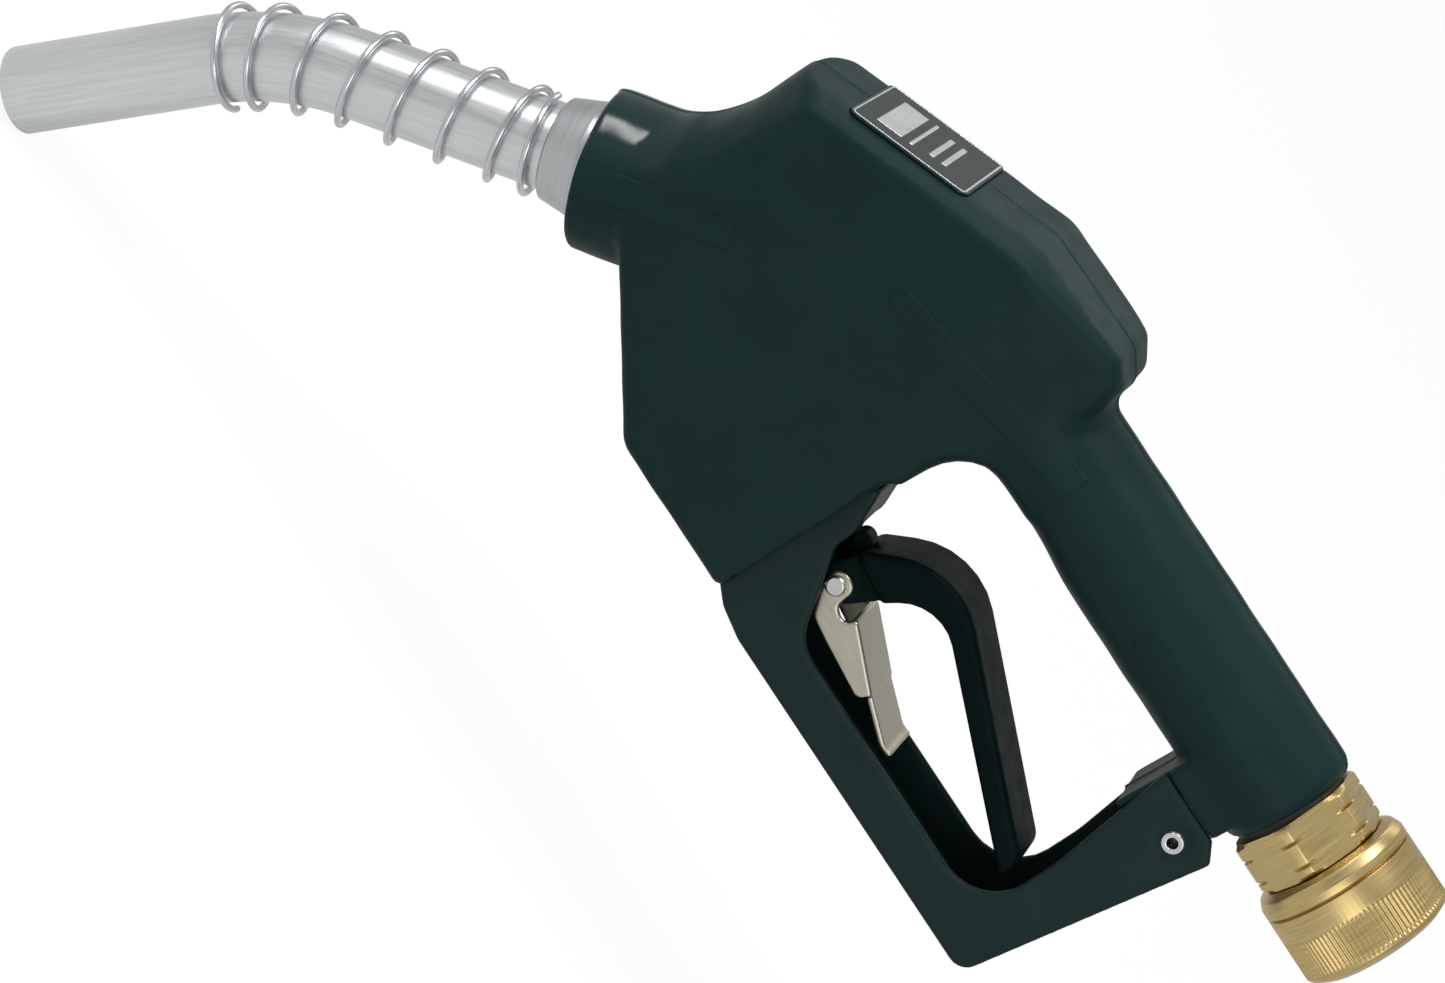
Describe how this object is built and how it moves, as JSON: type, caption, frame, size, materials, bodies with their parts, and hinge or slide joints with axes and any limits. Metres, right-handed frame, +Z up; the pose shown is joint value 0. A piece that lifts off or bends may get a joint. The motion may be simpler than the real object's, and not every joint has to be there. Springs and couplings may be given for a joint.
{
  "type": "fuel nozzle",
  "caption": "Automatic fuel nozzle: vinyl-covered body, bent spout with hook spring, squeeze lever in a U guard with hold-open clip, and a turning brass hose swivel.",
  "frame": {"origin": "centre of the hose inlet's face, on the swivel's axis", "axes": "+X out of the hose inlet, along the grip; +Z up, away from the lever; the nozzle is symmetric about Y = 0 and the spout points to -X and down"},
  "size_m": [0.4142, 0.0616, 0.2374],
  "materials": {
    "vinyl": "satin moulded vinyl, nearly black with a green-blue tint",
    "cast_aluminium": "as cast, machined bores",
    "plate": "gloss black with a thin silver border",
    "guard_black": "matte black paint",
    "lever_black": "satin black paint",
    "zinc_steel": "zinc plated",
    "clip_steel": "nickel plated, pressed",
    "brass": "turned, satin",
    "spout_aluminium": "drawn tube, faint lengthwise streaks",
    "collar_aluminium": "turned, matt grey",
    "spring_steel": "bright drawn wire",
    "stainless": "ground stainless",
    "seal_rubber": "nitrile",
    "acetal": "white acetal"
  },
  "bodies": {
    "root": {"body_casting": "cast_aluminium", "body_cover": "vinyl", "chamber_cap": "collar_aluminium", "chamber_cap_oring": "seal_rubber", "check_valve_guide": "acetal", "check_valve_seat": "brass", "check_valve_spring": "spring_steel", "collar_set_screw": "zinc_steel", "diaphragm": "seal_rubber", "diaphragm_cap": "collar_aluminium", "diaphragm_cap_screws": "zinc_steel", "diaphragm_spring": "spring_steel", "gland_seals": "seal_rubber", "guard_rivet": "zinc_steel", "guard_screws": "zinc_steel", "inlet_nipple": "brass", "inlet_strainer": "stainless", "label_plate": "plate", "lever_guard": "guard_black", "main_valve_spring": "spring_steel", "nipple_gasket": "seal_rubber", "sensor_fitting": "stainless", "sensor_tube": "stainless", "spout_collar": "collar_aluminium", "spout_oring": "seal_rubber", "spout_spring": "spring_steel", "spout_tube": "spout_aluminium", "stem_gland": "brass", "swivel_balls": "stainless", "swivel_seals": "seal_rubber", "trip_retainer": "zinc_steel", "trip_spring": "spring_steel", "valve_seat_ring": "brass"},
    "swivel": {"swivel_ring": "brass"},
    "valve": {"main_poppet": "collar_aluminium", "poppet_seal": "seal_rubber", "push_rod": "stainless"},
    "check_valve": {"check_valve_poppet": "acetal"},
    "latch": {"latch_pin": "stainless"},
    "trip": {"trip_plunger": "stainless", "lever_pin": "zinc_steel"},
    "lever": {"lever": "lever_black"},
    "clip": {"hold_open_clip": "clip_steel"}
  },
  "joints": [
    {"name": "swivel_spin", "type": "hinge", "parent": "root", "child": "swivel", "pos_m": [-0.014, 0, 0], "axis": [1, 0, 0], "continuous": true},
    {"name": "latch_slide", "type": "slide", "parent": "root", "child": "latch", "axis": [0, 0, -1], "range_m": [0, 0.002], "deforming": ["diaphragm", "diaphragm_spring"]},
    {"name": "trip_slide", "type": "slide", "parent": "root", "child": "trip", "axis": [1, 0, 0], "range_m": [0, 0.003], "deforming": ["trip_spring"]},
    {"name": "lever_squeeze", "type": "hinge", "parent": "trip", "child": "lever", "pos_m": [-0.161, 0, -0.07], "axis": [0, -1, 0], "range_deg": [0, 26]},
    {"name": "valve_slide", "type": "slide", "parent": "root", "child": "valve", "axis": [-1, 0, 0], "range_m": [0, 0.0038], "deforming": ["main_valve_spring"]},
    {"name": "clip_swing", "type": "hinge", "parent": "trip", "child": "clip", "pos_m": [-0.161, 0, -0.07], "axis": [0, -1, 0], "range_deg": [-8, 10]},
    {"name": "check_slide", "type": "slide", "parent": "root", "child": "check_valve", "axis": [-0.7902, 0, -0.6129], "range_m": [0, 0.005], "deforming": ["check_valve_spring"]}
  ],
  "couplings": [
    {"joint": "trip_slide", "follows": "latch_slide", "ratio": 1.5},
    {"joint": "valve_slide", "follows": "lever_squeeze", "m_per_rad": 0.008373}
  ]
}
